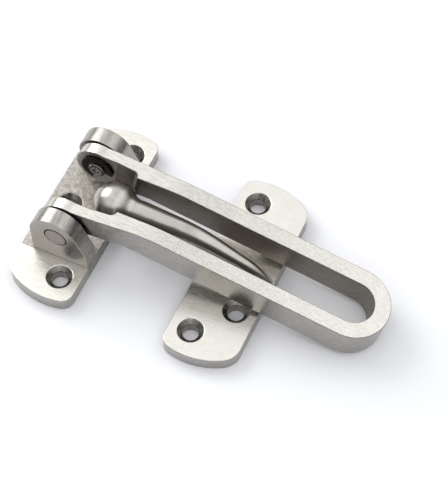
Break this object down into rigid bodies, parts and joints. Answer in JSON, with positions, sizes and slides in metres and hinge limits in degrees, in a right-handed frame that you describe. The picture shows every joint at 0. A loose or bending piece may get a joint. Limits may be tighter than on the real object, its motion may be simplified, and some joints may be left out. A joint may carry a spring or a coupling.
{
  "type": "door guard",
  "caption": "Swing-bar door guard: a slotted bar hinged between two ears on one plate closes over a ball on a curved arm fixed to the other plate.",
  "frame": {"origin": "middle of the hinge plate's back face", "axes": "+X from the hinge towards the bar's tip, +Z away from the door, Y across the bar along the pivot"},
  "size_m": [0.1234, 0.072, 0.0258],
  "materials": {
    "satin_steel": "satin, straight brushed grain",
    "polished_steel": "fine polished satin",
    "pin_steel": "turned, lightly brushed",
    "black_spring_steel": "black phosphate",
    "black_nylon": "matt"
  },
  "bodies": {
    "fixed": {"hinge_plate": "satin_steel", "near_pivot_pin": "pin_steel", "far_pivot_pin": "pin_steel", "near_retaining_clip": "black_spring_steel", "far_retaining_clip": "black_spring_steel", "near_friction_washer": "black_nylon", "far_friction_washer": "black_nylon", "catch_plate": "satin_steel", "ball_arm": "polished_steel", "ball": "polished_steel"},
    "bar": {"swing_bar": "satin_steel"}
  },
  "joints": [
    {"name": "bar_pivot", "type": "hinge", "parent": "fixed", "child": "bar", "pos_m": [0.0016, 0, 0.01785], "axis": [0, -1, 0], "range_deg": [0, 185]}
  ]
}
